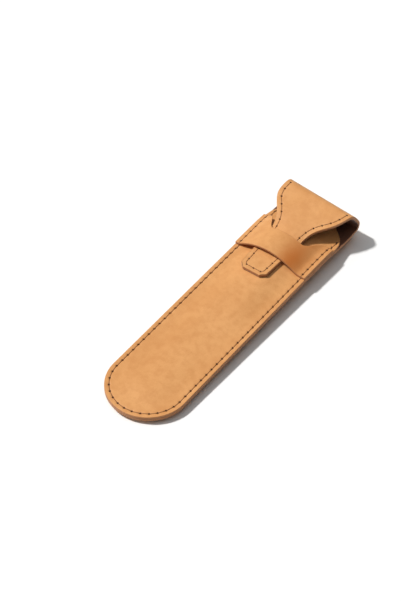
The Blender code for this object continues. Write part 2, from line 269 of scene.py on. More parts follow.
def half_width(s):
    """Half the width at a length s: full round the fold, tucked in a little at its corners."""
    share = np.minimum(1.0, flap_share(path(s)[0]) / FULL_SHARE)
    neck = NECK_HALF + (TONGUE_TIP_HALF - NECK_HALF) * smooth((s - FLAP_END) / (TIP - FLAP_END))
    clip = np.maximum(0.0, s - (TIP - TONGUE_CLIP))
    tuck = CORNER_TUCK * smooth((s - TUCK_FROM) / TUCK_IN) * (1 - smooth((s - TUCK_TO) / TUCK_OUT))
    return np.where(s <= WEB_END, HALF, neck + (HALF - NECK_HALF) * share - clip) - tuck


def edge_slant(s):
    """How much longer a step along the flap's edge is than the same step along its middle."""
    step = 0.0001
    return np.hypot(1.0, (half_width(s + step) - half_width(s - step)) / (2 * step))


print("neck", round(float(half_width(NECK_END)) * 2, 4), "wide, tongue", round(TIP - FLAP_END, 4), "long")


# %% [markdown]
# ## How the folded flap lies
# A folded flap is never quite true. It leans to one side, its neck is bowed across, because the strap
# presses on its edges, and the top of the fold has slipped a little, more at one end than the other.
# Small smooth shifts of the points give all three, with no need to bend the mesh by hand.

# %% Lean, bow and slant
FLAP_LEAN = 0.0016
LEAN_PAST_BEND = 0.0077


def lean(s):
    """The flap leans a little to the left, as hand-folded ones do."""
    return -FLAP_LEAN * smooth((s - WEB_END) / (UPPER_END - WEB_END + LEAN_PAST_BEND))


NECK_BOW = 0.0011
BOW_FROM_Y, BOW_GROWTH = 0.1000, 0.0127


def bow(s, across):
    """How far the neck's edges are pressed down."""
    y = path(s)[0]
    grows = np.clip((y - BOW_FROM_Y) / BOW_GROWTH, 0.0, 1.0) ** 2
    fades = 1.0 - smooth((y - STRAP_WAIST_Y) / (FLAP_CURVE_Y - STRAP_WAIST_Y))
    outward = np.minimum(1.0, np.abs(across) / NECK_HALF) ** 2
    return NECK_BOW * grows * fades * (s > UPPER_END) * outward


LOW_REACH = 0.0010
TOP_REACH = 0.0030
FOLD_SKEW = 0.0714
SLANT_FROM, SLANT_HEIGHT = 0.0030, 0.0090
REACH_FROM_Y, REACH_GROWTH = 0.120, 0.022


def fold_slant(z):
    """How far the top of the fold has slipped at a height: 0 on the table, 1 at the upper bend."""
    return smooth((z - SLANT_FROM) / SLANT_HEIGHT)


def skew(x, y, z):
    """The fold isn't quite square to the case: its left end reaches further than its right."""
    reach = LOW_REACH + (TOP_REACH - LOW_REACH - FOLD_SKEW * x) * fold_slant(z)
    return y + reach * smooth((y - REACH_FROM_Y) / REACH_GROWTH)


def folded(s, across, depth):
    """A point on the flap, depth metres in from the outer face."""
    y, z, heading = path(s)
    x = lean(s) + across
    y = y - depth * np.sin(heading)
    z = z + depth * np.cos(heading) - bow(s, across)
    return x, y, z


neck_bow = float(bow(FLAP_END, NECK_HALF))
print("flap leans", round(-float(lean(FLAP_END)), 5), "and its neck bows", round(neck_bow, 5))


# %% [markdown]
# ## Forming a sheet
# Leather starts as a flat piece with a thickness, and is then formed. The helpers do the same: a
# flat grid is added and extruded once into a slab, whose points are later moved to their places on
# the formed shape. A sheet folded down its middle has its two halves welded there.

# %% Helpers that make a flat slab
def slab(name, columns, rows):
    """A flat slab of leather. Returns it with each point's column, row and side (0 or 1)."""
    bpy.ops.object.select_all(action="DESELECT")
    bpy.ops.mesh.primitive_grid_add(x_subdivisions=columns, y_subdivisions=rows, size=2)
    obj = bpy.context.object
    obj.name = name
    obj.data.name = name
    bpy.ops.object.mode_set(mode="EDIT")
    bpy.ops.mesh.select_all(action="SELECT")
    bpy.ops.mesh.extrude_region_move(TRANSFORM_OT_translate={"value": (0, 0, 1)})
    bpy.ops.object.mode_set(mode="OBJECT")
    flat = np.empty(len(obj.data.vertices) * 3, np.float32)
    obj.data.vertices.foreach_get("co", flat)
    flat = flat.reshape(-1, 3)
    column = np.rint((flat[:, 0] + 1) / 2 * columns).astype(int)
    row = np.rint((flat[:, 1] + 1) / 2 * rows).astype(int)
    return obj, column, row, np.rint(flat[:, 2]).astype(int)


def open_middle(obj, inner):
    """Takes away the wall along the middle line, so that the two halves can be welded there."""
    bpy.ops.object.mode_set(mode="EDIT")
    bpy.ops.mesh.select_mode(type="FACE")
    bpy.ops.mesh.select_all(action="DESELECT")
    bpy.ops.object.mode_set(mode="OBJECT")
    for polygon in obj.data.polygons:
        polygon.select = all(inner[i] for i in polygon.vertices)
    bpy.ops.object.mode_set(mode="EDIT")
    bpy.ops.mesh.delete(type="ONLY_FACE")
    bpy.ops.mesh.select_mode(type="VERT")
    bpy.ops.object.mode_set(mode="OBJECT")


print("slab helpers ready")


# %% [markdown]
# The points of a slab are moved all at once. The cut edges are then rounded with a bevel, as an edge
# slicker rounds real ones. Three attributes stay on the mesh for the finish: cut, on the cut edges,
# hole, for painted shade in the needle holes, and a third for painted shade on the strap's right
# shoulder, which faces away from the key light.

# %% Helpers that form a sheet and round its edges
ROUNDED = 0.00024
WELD = 0.000002


def store(obj, name, values):
    attribute = obj.data.attributes.new(name, "FLOAT", "POINT")
    attribute.data.foreach_set("value", np.asarray(values, np.float32))


def round_cut_edges(obj):
    """Bevels the sharp edges whose two ends are both on the rim of the leather's outer face."""
    bpy.ops.object.mode_set(mode="EDIT")
    bpy.ops.mesh.select_mode(type="EDGE")
    bpy.ops.mesh.select_all(action="DESELECT")
    bpy.ops.mesh.edges_select_sharp(sharpness=math.radians(50))
    bpy.ops.object.mode_set(mode="OBJECT")
    mesh = obj.data
    chosen = np.zeros(len(mesh.edges), bool)
    mesh.edges.foreach_get("select", chosen)
    ends = np.zeros(len(mesh.edges) * 2, np.int32)
    mesh.edges.foreach_get("vertices", ends)
    rim = np.zeros(len(mesh.vertices), np.float32)
    mesh.attributes["rim"].data.foreach_get("value", rim)
    chosen &= rim[ends.reshape(-1, 2)].min(1) > 0.5
    mesh.attributes.remove(mesh.attributes["rim"])
    mesh.vertices.foreach_set("select", np.zeros(len(mesh.vertices), bool))
    mesh.polygons.foreach_set("select", np.zeros(len(mesh.polygons), bool))
    mesh.edges.foreach_set("select", chosen)
    bpy.ops.object.mode_set(mode="EDIT")
    if chosen.any():
        bpy.ops.mesh.bevel(offset=ROUNDED, segments=3, profile=0.5, affect="EDGES")
    bpy.ops.object.mode_set(mode="OBJECT")


def form(obj, x, y, z, cut, rim, hole=None, worn=None):
    """Moves the slab's points to their places, closes poles, and rounds and smooths the result."""
    places = np.stack([x, skew(x, y, z) + END_Y, z], axis=1)
    obj.data.vertices.foreach_set("co", places.astype(np.float32).ravel())
    store(obj, "cut", cut)
    store(obj, "rim", rim)
    store(obj, "hole", np.zeros(len(cut)) if hole is None else hole)
    store(obj, "worn", np.zeros(len(cut)) if worn is None else worn)
    bpy.ops.object.mode_set(mode="EDIT")
    bpy.ops.mesh.select_all(action="SELECT")
    bpy.ops.mesh.remove_doubles(threshold=WELD)
    bpy.ops.mesh.normals_make_consistent(inside=False)
    bpy.ops.object.mode_set(mode="OBJECT")
    round_cut_edges(obj)
    bpy.ops.object.shade_smooth_by_angle(angle=math.radians(60))
    print(obj.name, len(obj.data.polygons), "faces")
    return obj


# %% [markdown]
# ## Where the needle goes
# The seam is saddle-stitched about four millimetres apart, in a shallow groove pressed a little
# inside the edge. Each hole is an awl mark that drags the grain down with it. Painting the dots
# would leave them flat, so the sheets have extra rows of points at each hole, pushed down into it.
# The dents are shallow, so the shade inside each hole is also painted on as a dark brown.

# %% Grooves and holes
GROOVE_DEPTH = 0.00008
GROOVE_WIDE = 0.00028
HOLE_DEPTH = 0.00070
HOLE_LONG = 0.00054
HOLE_WIDE = 0.00040
ACROSS_SEAM = (0.0, 0.00035, 0.0008, 0.0014, 0.00185, 0.0021, 0.0023, 0.0025, 0.00275, 0.0032)
AT_HOLE = (-0.0006, -0.0004, -0.0002, 0.0, 0.0002, 0.0004, 0.0006)


def dent(beside, along):
    """Depth below the face and the share of painted hole shade, from the distances to the seam line and to a
    hole.
    """
    groove = GROOVE_DEPTH * np.exp(-((beside / GROOVE_WIDE) ** 2))
    hole = np.exp(-((beside / HOLE_WIDE) ** 2) - (along / HOLE_LONG) ** 2)
    return groove + HOLE_DEPTH * hole, hole


def nearest(values, marks):
    """Distance from each value to the nearest mark."""
    marks = np.sort(np.asarray(marks))
    after = np.clip(np.searchsorted(marks, values), 1, len(marks) - 1)
    return np.minimum(np.abs(values - marks[after - 1]), np.abs(values - marks[after]))


def lines_through(marks, low, high, coarse):
    """Sorted lines from low to high: several at each mark, and no gap wider than coarse."""
    fixed = sorted({low, high, *(m + d for m in marks for d in AT_HOLE if low < m + d < high)})
    lines = [low]
    for line in fixed[1:]:
        gap = line - lines[-1]
        pieces = max(1, math.ceil(gap / coarse - 0.001))
        lines += [lines[-1] + gap * (n + 1) / pieces for n in range(pieces)]
    return np.array(lines)


def apart(lines):
    """The lines in order, without any that lies on the one before it."""
    lines = np.array(sorted(set(lines)))
    return lines[np.append(True, np.diff(lines) > 10 * WELD)]


print("lines across one hole", AT_HOLE)


# %% [markdown]
# ## Stations round the sleeve
# Both panels of the sleeve are laid out as an outline worker would: lines run round the seam, down
# one side, round the end and up the other, and other lines run in from the edge to the middle. The
# rows of points then follow the stitching exactly, even round the curved end.

# %% Layout of the sleeve
SEAM_X = HALF - SEAM_INSET
INSETS = np.array(
    [*ACROSS_SEAM, 0.0042, 0.0052, 0.0062, 0.0073, 0.0084, 0.0095, 0.0106, 0.0118, 0.0130]
    + [0.0150, 0.0170, 0.0190, HALF]
)
ROUND = math.pi * SEAM_X
HAND_SLIP = 0.00012


def sleeve_holes():
    """Hole positions as arc length from Y = 0 on the right, below it, round the end and up."""
    half = SEAM_TOP + ROUND / 2
    count = round(half / PITCH)
    rng = np.random.default_rng(7)
    marks = np.linspace(0.0, half, count + 1)
    marks[1:-1] += rng.uniform(-HAND_SLIP, HAND_SLIP, count - 1)
    return np.sort(np.append(ROUND / 2 - marks[1:], ROUND / 2 + marks))


HOLES = sleeve_holes()


def sleeve_point(arc, inset, top):
    """(x, y) at an arc length along the seam and an inset, where top(x) is the side's end."""
    seam_top = float(top(SEAM_X))
    radius = HALF - inset
    angle = np.clip(arc, 0.0, ROUND) / SEAM_X
    x = radius * np.cos(angle)
    y = -radius * np.sin(angle)
    x = np.where(arc < 0, radius, np.where(arc > ROUND, -radius, x))
    beyond = np.maximum(-arc, arc - ROUND)
    return x, np.where(beyond > 0, beyond / seam_top * top(x), y)


print(len(HOLES), "holes in the sleeve's seam")


# %% [markdown]
# ## Natural leather
# Vegetable-tanned leather has a warm tan grain with soft cloudy patches, fine pores and a satin
# surface, and it darkens where it is burnished. The colour is layered noise at three sizes on object
# coordinates. The three attributes darken the slicked edges, paint shade into the needle holes and
# paint shade onto the strap's right shoulder, which faces away from the key light. First come small
# helpers, one for each kind of node.

# %% Helpers that build a finish
def new_material(name):
    material = bpy.data.materials.new(name)
    material.use_nodes = True
    tree = material.node_tree
    shader = tree.nodes["Principled BSDF"]
    coordinates = tree.nodes.new("ShaderNodeTexCoord")
    return material, tree, shader, coordinates.outputs["Object"]


def noise(tree, vector, scale, detail=3.0, rough=0.55):
    node = tree.nodes.new("ShaderNodeTexNoise")
    node.inputs["Scale"].default_value = scale
    node.inputs["Detail"].default_value = detail
    node.inputs["Roughness"].default_value = rough
    tree.links.new(vector, node.inputs["Vector"])
    return node.outputs["Fac"]


def remap(tree, value, low, high, to_low, to_high):
    node = tree.nodes.new("ShaderNodeMapRange")
    for key, number in zip(("From Min", "From Max", "To Min", "To Max"), (low, high, to_low, to_high)):
        node.inputs[key].default_value = number
    tree.links.new(value, node.inputs["Value"])
    return node.outputs["Result"]


def blend_colour(tree, share, first, second, mode="MIX"):
    """Mixes two colours, each a tuple or a socket, by the socket share."""
    node = tree.nodes.new("ShaderNodeMix")
    node.data_type = "RGBA"
    node.blend_type = mode
    tree.links.new(share, node.inputs["Factor"])
    for key, colour in (("A", first), ("B", second)):
        socket = next(s for s in node.inputs if s.name == key and s.type == "RGBA")
        if isinstance(colour, tuple):
            socket.default_value = (*colour, 1.0)
        else:
            tree.links.new(colour, socket)
    return next(s for s in node.outputs if s.type == "RGBA")


def attribute(tree, name):
    node = tree.nodes.new("ShaderNodeAttribute")
    node.attribute_name = name
    return node.outputs["Fac"]


def bump(tree, shader, height, strength, distance, under=None):
    node = tree.nodes.new("ShaderNodeBump")
    node.inputs["Strength"].default_value = strength
    node.inputs["Distance"].default_value = distance
    tree.links.new(height, node.inputs["Height"])
    if under is not None:
        tree.links.new(under, node.inputs["Normal"])
    tree.links.new(node.outputs["Normal"], shader.inputs["Normal"])
    return node.outputs["Normal"]


print("finish helpers ready")


# %% [markdown]
# ## The tan finish
# A new case is a warm middle tan, clouded with one a little lighter and one deeper. The pores could
# be carved, but they are far too fine for that. So they are a cell pattern that only tilts the light,
# with the grain and a softer unevenness over them.

# %% Build the leather finish
TAN = (0.640, 0.300, 0.101)
TAN_LIGHT = (0.690, 0.338, 0.121)
TAN_DEEP = (0.550, 0.232, 0.068)
# The next colour is painted shade for the strap's right shoulder, which faces away from the key light.
PAINTED_SHADE_TAN = (0.520, 0.148, 0.020)
EDGE_BROWN = (0.400, 0.165, 0.060)
# The next colour is painted shade inside the needle holes.
PAINTED_HOLE_SHADE = (0.040, 0.009, 0.003)
CLOUD_SCALE, SATIN_SCALE, PATCH_SCALE, DIMPLE_SCALE = 45, 120, 260, 330
PORE_SCALE, GRAIN_SCALE = 1500, 1900


def tan_leather():
    material, tree, shader, place = new_material("natural_tan_leather")
    clouds = remap(tree, noise(tree, place, CLOUD_SCALE, 3), 0.38, 0.62, 0.0, 1.0)
    patches = remap(tree, noise(tree, place, PATCH_SCALE, 4), 0.40, 0.70, 0.0, 0.55)
    grain = noise(tree, place, GRAIN_SCALE, 4, 0.7)
    specks = remap(tree, grain, 0.52, 0.70, 0.0, 0.45)
    colour = blend_colour(tree, clouds, TAN, TAN_LIGHT)
    colour = blend_colour(tree, patches, colour, TAN_DEEP)
    colour = blend_colour(tree, specks, colour, TAN_DEEP)
    # Painted shade on the strap's right shoulder, which faces away from the key light.
    worn = remap(tree, attribute(tree, "worn"), 0.0, 1.0, 0.0, 0.9)
    colour = blend_colour(tree, worn, colour, PAINTED_SHADE_TAN)
    edge = remap(tree, attribute(tree, "cut"), 0.25, 1.0, 0.0, 0.85)
    colour = blend_colour(tree, edge, colour, EDGE_BROWN)
    # Painted shade in the needle holes, darker than their shallow dents alone would make them.
    pierced = remap(tree, attribute(tree, "hole"), 0.12, 0.36, 0.0, 1.0)
    colour = blend_colour(tree, pierced, colour, PAINTED_HOLE_SHADE)
    tree.links.new(colour, shader.inputs["Base Color"])
    satin = remap(tree, noise(tree, place, SATIN_SCALE, 3), 0.35, 0.65, 0.52, 0.68)
    tree.links.new(satin, shader.inputs["Roughness"])
    shader.inputs["Specular IOR Level"].default_value = 0.35
    shader.inputs["Sheen Weight"].default_value = 0.08
    shader.inputs["Sheen Roughness"].default_value = 0.5
    pores = tree.nodes.new("ShaderNodeTexVoronoi")
    pores.inputs["Scale"].default_value = PORE_SCALE
    tree.links.new(place, pores.inputs["Vector"])
    first = bump(tree, shader, pores.outputs["Distance"], 0.25, 0.00006)
    second = bump(tree, shader, grain, 0.30, 0.00010, under=first)
    dimples = noise(tree, place, DIMPLE_SCALE, 3)
    bump(tree, shader, dimples, 0.18, 0.00030, under=second)
    return material


LEATHER_FINISH = tan_leather()
print(LEATHER_FINISH.name, len(LEATHER_FINISH.node_tree.nodes), "nodes")


def finish_leather(obj, *nodes):
    obj.data.materials.clear()
    obj.data.materials.append(LEATHER_FINISH)
    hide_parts(*nodes)
    return obj


# %% [markdown]
# ## The lining
# The lining is a thin dark brown split with a matt, slightly hairy nap. Hairs this short don't show
# one by one, so the nap is fine noise with a little sheen, which lightens it where it turns away.

# %% Build the lining finish
LINING_BROWN = (0.110, 0.036, 0.015)
LINING_LIGHT = (0.155, 0.054, 0.023)
NAP_BROWN = (0.210, 0.085, 0.040)


def dark_lining():
    material, tree, shader, place = new_material("dark_brown_lining")
    nap = noise(tree, place, 900, 5, 0.75)
    patches = remap(tree, noise(tree, place, 130, 3), 0.35, 0.65, 0.0, 1.0)
    colour = blend_colour(tree, patches, LINING_BROWN, LINING_LIGHT)
    colour = blend_colour(tree, remap(tree, nap, 0.5, 0.75, 0.0, 0.6), colour, NAP_BROWN)
    edge = remap(tree, attribute(tree, "cut"), 0.25, 1.0, 0.0, 0.8)
    colour = blend_colour(tree, edge, colour, EDGE_BROWN)
    tree.links.new(colour, shader.inputs["Base Color"])
    shader.inputs["Roughness"].default_value = 0.88
    shader.inputs["Specular IOR Level"].default_value = 0.2
    shader.inputs["Sheen Weight"].default_value = 0.25
    shader.inputs["Sheen Roughness"].default_value = 0.6
    bump(tree, shader, nap, 0.5, 0.00012)
    return material


LINING_FINISH = dark_lining()
print(LINING_FINISH.name, len(LINING_FINISH.node_tree.nodes), "nodes")

# %% [markdown]
# ## The thread
# The thread is a waxed brown cord of several plies, whose twist shows as slanting ridges. The ridges
# follow each stitch, so they are drawn on the stitch's own UV map. Shade is painted into the grooves
# between the ridges.

# %% Build the thread finish
THREAD_DARK = (0.190, 0.070, 0.020)
THREAD_LIGHT = (0.400, 0.165, 0.050)
THREAD_WAX = (0.300, 0.115, 0.035)
TWIST = math.radians(38)


def brown_thread():
    material, tree, shader, place = new_material("waxed_brown_thread")
    coordinates = tree.nodes.new("ShaderNodeTexCoord")
    slant = tree.nodes.new("ShaderNodeMapping")
    slant.inputs["Rotation"].default_value[2] = TWIST
    tree.links.new(coordinates.outputs["UV"], slant.inputs["Vector"])
    twist = tree.nodes.new("ShaderNodeTexWave")
    twist.inputs["Scale"].default_value = 3.2
    twist.inputs["Distortion"].default_value = 0.4
    tree.links.new(slant.outputs["Vector"], twist.inputs["Vector"])
    # Painted shade: the thread is coloured darker where the wave is low, in the grooves between the plies.
    ply_groove_shade = remap(tree, twist.outputs["Fac"], 0.0, 1.0, 0.0, 0.8)
    colour = blend_colour(tree, ply_groove_shade, THREAD_DARK, THREAD_LIGHT)
    colour = blend_colour(tree, noise(tree, place, 500, 2), colour, THREAD_WAX)
    tree.links.new(colour, shader.inputs["Base Color"])
    shader.inputs["Roughness"].default_value = 0.55
    bump(tree, shader, twist.outputs["Fac"], 0.5, 0.00008)
    return material


THREAD_FINISH = brown_thread()
print(THREAD_FINISH.name, len(THREAD_FINISH.node_tree.nodes), "nodes")


def finish_with(obj, material, slot, *nodes):
    obj.data.materials.clear()
    obj.data.materials.append(material)
    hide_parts(*nodes)
    return obj


# %% [markdown]
# ## The front panel
# The front panel is stitched on three sides and open at the mouth, where its edge is cut in a gentle
# curve so that the pen is easy to take. Its grooves and holes stop under the strap, which covers them.

# %% Form the front panel
STRAP_LOW_Y = 0.0977
STRAP_HIGH_Y = 0.1223
COVERED_FROM, COVERED_TO, COVER_FADE = 0.0965, 0.1225, 0.001
WAVE = 0.00007
SLEEVE_STEP = 0.0013


def height_on_seam(arc):
    return np.maximum(-arc, arc - ROUND)


def uneven(x, y):
    """A hand-made panel is never quite even: slow waves of about a tenth of a millimetre."""
    return WAVE * (np.sin(x * 260 + y * 71) + np.sin(y * 123 - x * 95 + 1.3))


def under_strap(y):
    """1 where the strap hides the panel, 0 elsewhere."""
    return smooth((y - COVERED_FROM) / COVER_FADE) * (1 - smooth((y - COVERED_TO) / COVER_FADE))


def front_panel():
    hidden_from, hidden_to = STRAP_LOW_Y - COVER_FADE, STRAP_HIGH_Y + COVER_FADE
    shown = [a for a in HOLES if not hidden_from < height_on_seam(a) < hidden_to]
    end = float(mouth_y(SEAM_X))
    lines = lines_through(shown, -end, ROUND + end, SLEEVE_STEP)
    obj, column, row, side = slab("front_leather", len(lines) - 1, len(INSETS) - 1)
    open_middle(obj, row == len(INSETS) - 1)
    arc, inset = lines[column], INSETS[row]
    x, y = sleeve_point(arc, inset, mouth_y)
    depth, hole = dent(inset - SEAM_INSET, nearest(arc, shown))
    pierced = side * (1 - under_strap(y))
    waves = uneven(x, y) * bulge(x, y)
    z = front_height(x, y) + waves + side * LEATHER - depth * pierced
    cut = (row == 0) | (column == 0) | (column == len(lines) - 1)
    form(obj, x, y, z, cut, cut & (side == 1), hole * pierced)
    return finish_leather(obj, "front_panel")


front = front_panel()
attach(front, "sleeve")

# %% [markdown]
# ## The back leather
# One piece of leather makes the back, the fold, the flap and the tongue. It is cut halfway between
# each pair of bending lines into lengths that meet edge to edge with the same curve, so the cuts
# don't show.

# %% Form the back of the sleeve
HINGE_S = (0.0, LOWER_BEND / 2, LOWER_BEND, WEB_END, UPPER_END)
NECK_CUT = 0.0300
CUTS = [(HINGE_S[n] + HINGE_S[n + 1]) / 2 for n in range(4)] + [NECK_CUT]
BEND_STEP = 0.00013
LINING_STEP = 0.0020


def back_point(x, y, depth):
    """A point on the back sheet, where y past STRAIGHT runs on round the fold."""
    s = np.maximum(0.0, y - STRAIGHT)
    folded_x, folded_y, folded_z = folded(s, x, depth)
    past = y > STRAIGHT
    flat_z = back_height(x, np.minimum(y, STRAIGHT)) + depth
    return np.where(past, folded_x, x), np.where(past, folded_y, y), np.where(past, folded_z, flat_z)


def back_lines(marks, coarse):
    """Lines round the back sheet, close together on the start of the bend."""
    end = STRAIGHT + CUTS[0]
    lines = lines_through(marks, -end, ROUND + end, coarse)
    bend = [STRAIGHT + BEND_STEP * n for n in range(int(CUTS[0] / BEND_STEP) + 1)]
    return apart([*lines, *(-b for b in bend), *(ROUND + b for b in bend)])


def sleeve_end(x):
    return np.full(np.shape(x), STRAIGHT + CUTS[0])


SEAM_RUN_OUT = 0.001


def sleeve_back(name, start, end, marks, coarse):
    lines = back_lines(marks, coarse)
    obj, column, row, side = slab(name, len(lines) - 1, len(INSETS) - 1)
    open_middle(obj, row == len(INSETS) - 1)
    arc, inset = lines[column], INSETS[row]
    x, y = sleeve_point(arc, inset, sleeve_end)
    depth, hole = dent(inset - SEAM_INSET, nearest(arc, HOLES))
    past_seam = smooth((y - SEAM_TOP - SEAM_RUN_OUT / 2) / SEAM_RUN_OUT)
    pierced = (1 - side) * (len(marks) > 0) * (1 - past_seam)
    layer = start + side * (end - start) + depth * pierced
    x, y, z = back_point(x, y, layer)
    form(obj, x, y, z, row == 0, (row == 0) & (side == 0) & (start == 0), hole * pierced)
    return obj


print("cuts along the fold", [round(cut, 4) for cut in CUTS])

# %% [markdown]
# The ends of a blend are found at two points along the fold, and its direction is turned with the
# slant of the fold. No blend is made from them here; each sheet's transform is only baked into its points.

# %% Ends of a blend between two bodies
FOLD_BODIES = ("sleeve", "fold_strip_1", "fold_strip_2", "fold_strip_3", "fold_strip_4", "flap")
KEEP_CLEAR = 0.0003


def blend_along(obj, first, second, low, high):
    """Finds a blend's two ends, square to the slanting fold, but makes no blend and only bakes the sheet's
    transform. first and second are not used.
    """
    ends = []
    for s in (low + KEEP_CLEAR, high - KEEP_CLEAR):
        y = np.where(s < 0, STRAIGHT + s, path(s)[0])
        z = np.where(s < 0, rise(STRAIGHT + s), path(s)[1])
        ends.append([0.0, float(skew(0.0, y, z)) + END_Y, float(z)])
    middle = (ends[0][2] + ends[1][2]) / 2
    ends[1][0] = FOLD_SKEW * float(fold_slant(middle)) * (ends[1][1] - ends[0][1])
    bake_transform(obj)


back = sleeve_back("back_leather", 0.0, LEATHER, HOLES, SLEEVE_STEP)
finish_leather(back, "back_panel", "fold_leather_1")
back_lining = sleeve_back("back_lining_skin", LINING_FROM, LINING_TO, [], LINING_STEP)
finish_with(back_lining, LINING_FINISH, "dark_lining", "back_lining", "fold_lining_1")
for sheet in (back, back_lining):
    blend_along(sheet, "sleeve", "fold_strip_1", -CUTS[0], CUTS[0] + KEEP_CLEAR)

# %% [markdown]
# ## The fold
# Three short lengths carry the leather and its lining round the two bends. Rows about two degrees
# apart keep the bends round, so that the light runs over them without a break.

# %% Form the three lengths of the fold
FOLD_COLUMNS = np.array([-0.021, -0.02065, -0.0198, -0.018, -0.014, -0.010, -0.005, 0.0])
FOLD_COLUMNS = np.append(FOLD_COLUMNS, -FOLD_COLUMNS[-2::-1])


def fold_length(name, number, start, end):
    low, high = CUTS[number - 1], CUTS[number]
    rows = np.linspace(low, high, max(2, round((high - low) / BEND_STEP)) + 1)
    obj, column, row, side = slab(name, len(FOLD_COLUMNS) - 1, len(rows) - 1)
    s = rows[row]
    across = FOLD_COLUMNS[column] / HALF * half_width(s)
    x, y, z = folded(s, across, start + side * (end - start))
    cut = (column == 0) | (column == len(FOLD_COLUMNS) - 1)
    form(obj, x, y, z, cut, cut & (side == 0) & (start == 0))
    return obj


for number, word in ((1, "lower"), (2, "web"), (3, "upper")):
    outer = fold_length(f"fold_{word}_leather", number, 0.0, LEATHER)
    finish_leather(outer, f"fold_leather_{number + 1}")
    inner = fold_length(f"fold_{word}_lining", number, LINING_FROM, LINING_TO)
    finish_with(inner, LINING_FINISH, "dark_lining", f"fold_lining_{number + 1}")
    for sheet in (outer, inner):
        blend_along(sheet, *FOLD_BODIES[number : number + 2], CUTS[number - 1], CUTS[number])

# %% [markdown]
# ## The seam round the flap and tongue
# A second seam starts on top of the fold, follows both curved edges of the flap, runs along the
# tongue, and turns its cut corners. It is a line of points on the flat pattern, in distances across
# and along, and holes are stepped off along it with equal spacing, as dividers would mark them.

# %% Lay out the flap's seam on the flat pattern
FLAP_SEAM_START = 0.0187
FLAP_PITCH = 0.0041
FLAP_HOLE_WIDE = 0.00037
GROOVE_STEP = 0.0003


def flap_seam_line():
    side_end = TIP - TONGUE_CLIP - SEAM_INSET * (math.sqrt(2) - 1)
    s = np.linspace(FLAP_SEAM_START, side_end, 400)
    across = half_width(s) - SEAM_INSET * edge_slant(s)
    tip_s = TIP - SEAM_INSET
    corner = float(across[-1]) - (tip_s - side_end)
    return np.vstack([np.stack([across, s], 1), [[corner, tip_s]], [[0.0, tip_s]]])


def step_off(line, pitch):
    """Points an equal distance apart along a line, its two ends among them."""
    lengths = np.append(0.0, np.cumsum(np.hypot(*np.diff(line, axis=0).T)))
    count = round(lengths[-1] / pitch)
    marks = np.linspace(0.0, lengths[-1], count + 1)
    return np.stack([np.interp(marks, lengths, line[:, 0]), np.interp(marks, lengths, line[:, 1])], 1)


FLAP_LINE = flap_seam_line()
FLAP_HOLES = step_off(FLAP_LINE, FLAP_PITCH)
FINE_LINE = step_off(FLAP_LINE, GROOVE_STEP)
print(len(FLAP_HOLES) * 2 - 1, "holes round the flap and tongue")


def nearest_of(across, s, points):
    """Distance from each place on the flat pattern to the nearest of the points."""
    gaps = [np.hypot(across - point_across, s - point_s) for point_across, point_s in points]
    return np.min(gaps, axis=0)


def flap_dent(across, s):
    """Depth and painted hole shade on the flap; its left half mirrors its right."""
    across = np.abs(across)
    hole = np.exp(-((nearest_of(across, s, FLAP_HOLES) / FLAP_HOLE_WIDE) ** 2))
    groove = GROOVE_DEPTH * np.exp(-((nearest_of(across, s, FINE_LINE) / GROOVE_WIDE) ** 2))
    return groove + HOLE_DEPTH * hole, hole


# %% [markdown]
# ## The flap
# The flap's outer face needs fine lines along its seams and only a few between them, so its columns
# are set by their distance from the edge and slide in with it as the flap narrows.

# %% Form the flap
SIDE_INSETS = np.array([*ACROSS_SEAM, 0.0040])
MIDDLE_SHARES = np.linspace(-1.0, 1.0, 19)[1:-1]
LAST_COLUMN = 2 * len(SIDE_INSETS) + len(MIDDLE_SHARES) - 1
FLAP_STEP = 0.0006
FLAP_LINING_STEP = 0.0012


def flap_across(column, s):
    """Distance across for each column: insets from the left edge, shares, insets from the right."""
    count = len(SIDE_INSETS)
    from_right = LAST_COLUMN - column
    half, slant = half_width(s), edge_slant(s)
    left = -(half - SIDE_INSETS[np.minimum(column, count - 1)] * slant)
    right = half - SIDE_INSETS[np.minimum(from_right, count - 1)] * slant
    share = MIDDLE_SHARES[np.clip(column - count, 0, len(MIDDLE_SHARES) - 1)]
    middle = share * (half - SIDE_INSETS[-1] * slant)
    return np.where(column < count, left, np.where(from_right < count, right, middle))


def flap_rows(marks, coarse):
    """Lines along the flap, close together on the end of the upper bend."""
    rows = lines_through(marks, CUTS[3], CUTS[4], coarse)
    bend = CUTS[3] + BEND_STEP * np.arange(1, int((UPPER_END - CUTS[3]) / BEND_STEP) + 1)
    return apart([*rows, *bend, UPPER_END])


def flap_sheet(name, start, end, marks, coarse):
    rows = flap_rows(marks, coarse)
    obj, column, row, side = slab(name, LAST_COLUMN, len(rows) - 1)
    s = rows[row]
    across = flap_across(column, s)
    depth, hole = flap_dent(across, s)
    pierced = (1 - side) * (len(marks) > 0)
    x, y, z = folded(s, across, start + side * (end - start) + depth * pierced)
    cut = (column == 0) | (column == LAST_COLUMN)
    form(obj, x, y, z, cut, cut & (side == 0) & (start == 0), hole * pierced)
    return obj


def blend_flap(obj):
    blend_along(obj, "fold_strip_4", "flap", CUTS[3], 2 * UPPER_END - CUTS[3])


flap = flap_sheet("flap_outer_leather", 0.0, LEATHER, FLAP_HOLES[:, 1], FLAP_STEP)
finish_leather(flap, "flap_leather")
flap_inner = flap_sheet("flap_lining_skin", LINING_FROM, LINING_TO, [], FLAP_LINING_STEP)
finish_with(flap_inner, LINING_FINISH, "dark_lining", "flap_lining")
for sheet in (flap, flap_inner):
    blend_flap(sheet)

# %% [markdown]
# ## The tongue
# The tongue carries the seam round its tip, so its points are evenly fine. It is one piece with the
# neck.

# %% Form the neck and tongue
TONGUE_COLUMNS, TONGUE_STEP = 92, 0.00026
TONGUE_LINING_COLUMNS, TONGUE_LINING_STEP = 30, 0.0009
NECK_BLEND = 0.0050


